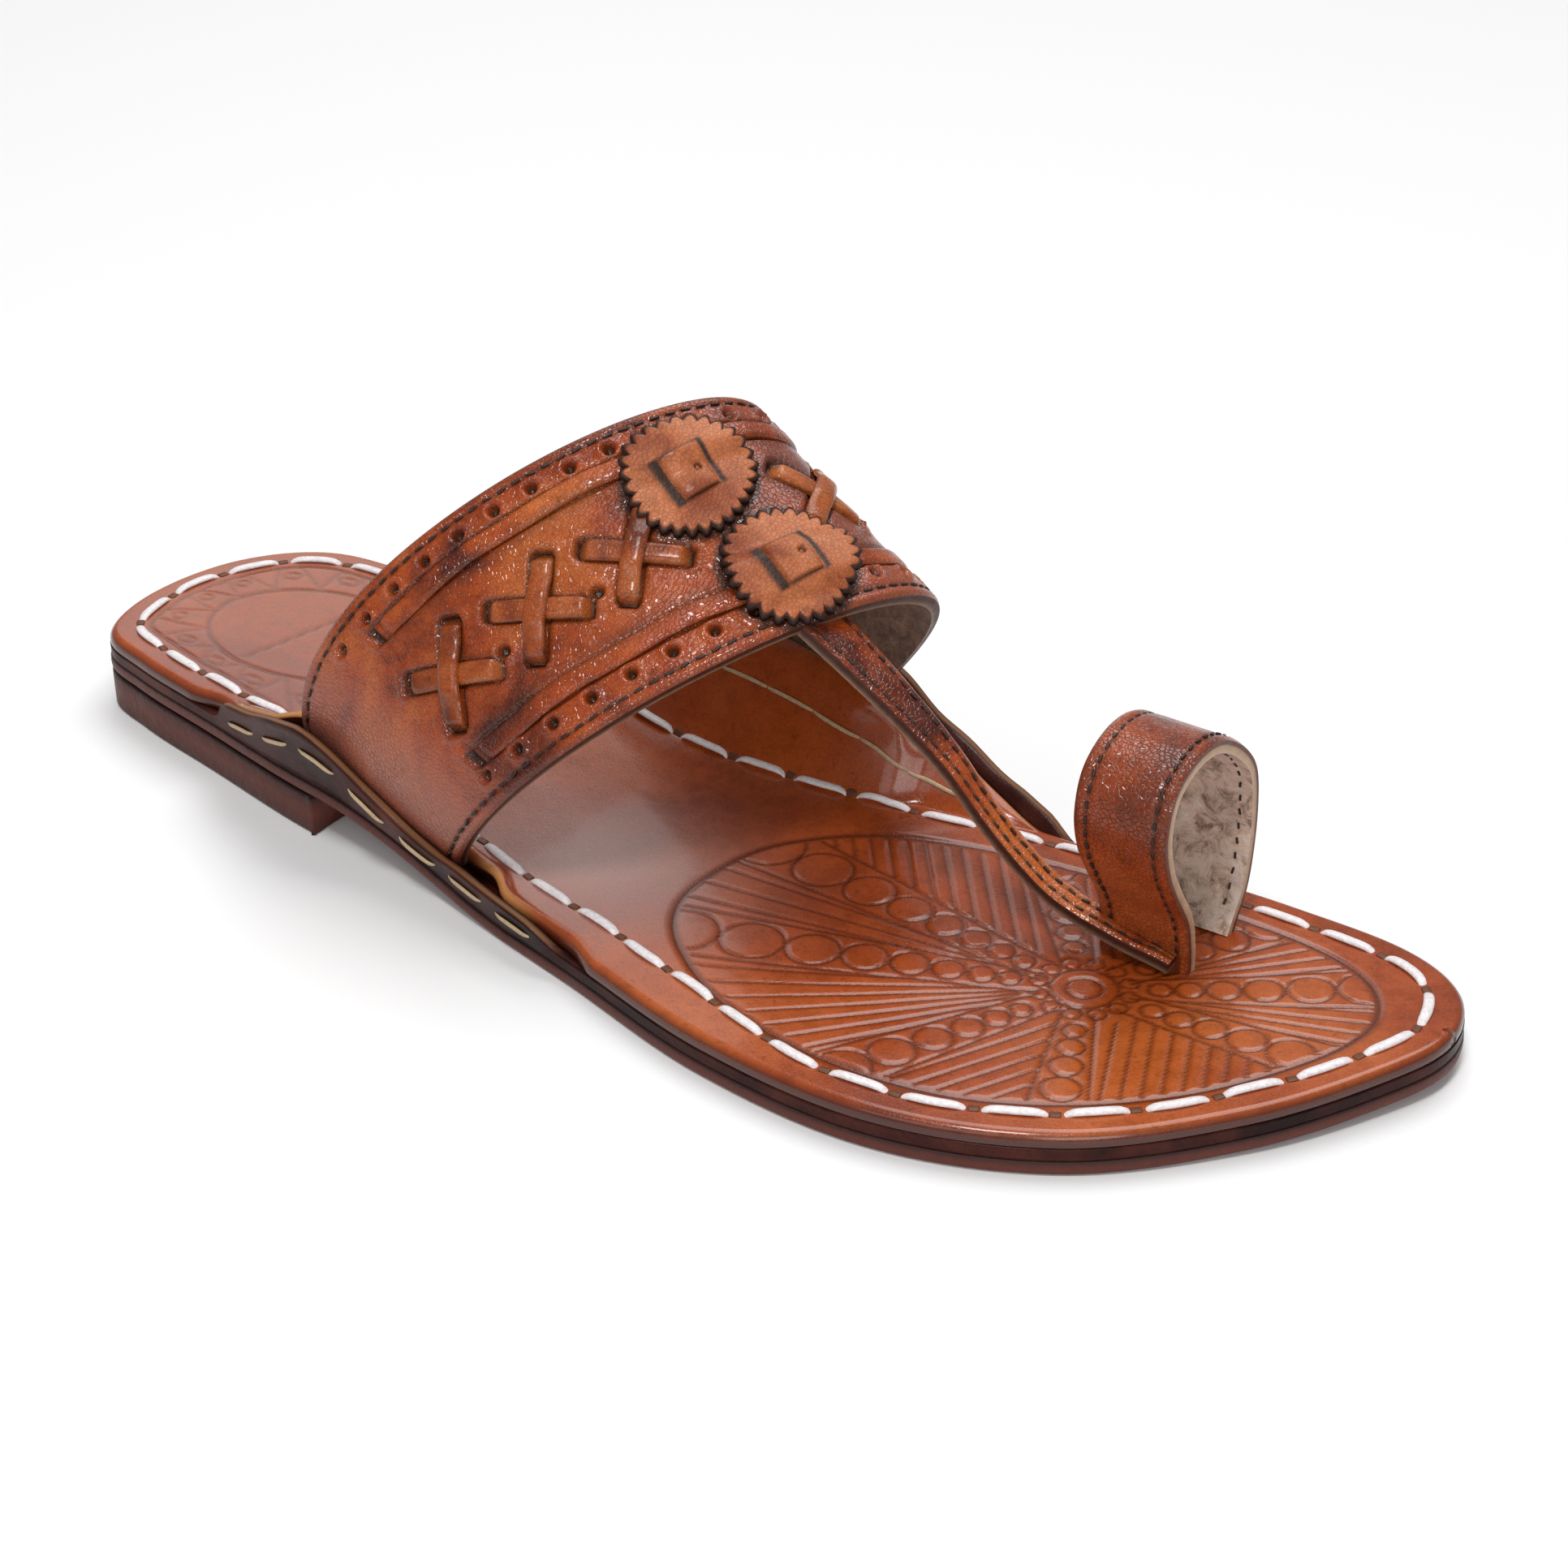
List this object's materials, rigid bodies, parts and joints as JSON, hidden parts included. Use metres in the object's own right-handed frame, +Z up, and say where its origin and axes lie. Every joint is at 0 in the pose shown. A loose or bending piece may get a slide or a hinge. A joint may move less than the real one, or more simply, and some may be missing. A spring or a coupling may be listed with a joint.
{
  "type": "kolhapuri sandal",
  "caption": "Flat leather sandal with a wide woven instep band, pinked rosettes, a thong and a toe loop on an embossed stacked sole with raised side flaps.",
  "frame": {"origin": "on the floor under the middle of the box round the sandal", "axes": "+X towards the toe along the sole, +Y towards the inner side of the foot, +Z up"},
  "size_m": [0.271, 0.0994, 0.0801],
  "materials": {
    "sole_leather": "burnished edge",
    "heel_leather": "burnished edge",
    "midsole_leather": "dark dyed edge",
    "footbed_leather": "glossy, waxed",
    "upper_leather": "glossy, hand rubbed",
    "trim_leather": "glossy, hand rubbed"
  },
  "bodies": {
    "root": {"outsole": "sole_leather", "heel": "heel_leather", "midsole": "midsole_leather", "insole": "footbed_leather", "upper": "upper_leather", "strip_front": "trim_leather", "strip_rear": "trim_leather", "cross_1": "trim_leather", "cross_2": "trim_leather", "cross_3": "trim_leather", "cross_4": "trim_leather", "cross_5": "trim_leather", "cross_6": "trim_leather", "rosette_rear": "trim_leather", "rosette_rear_tab": "upper_leather", "rosette_front": "trim_leather", "rosette_front_tab": "upper_leather"}
  },
  "joints": []
}
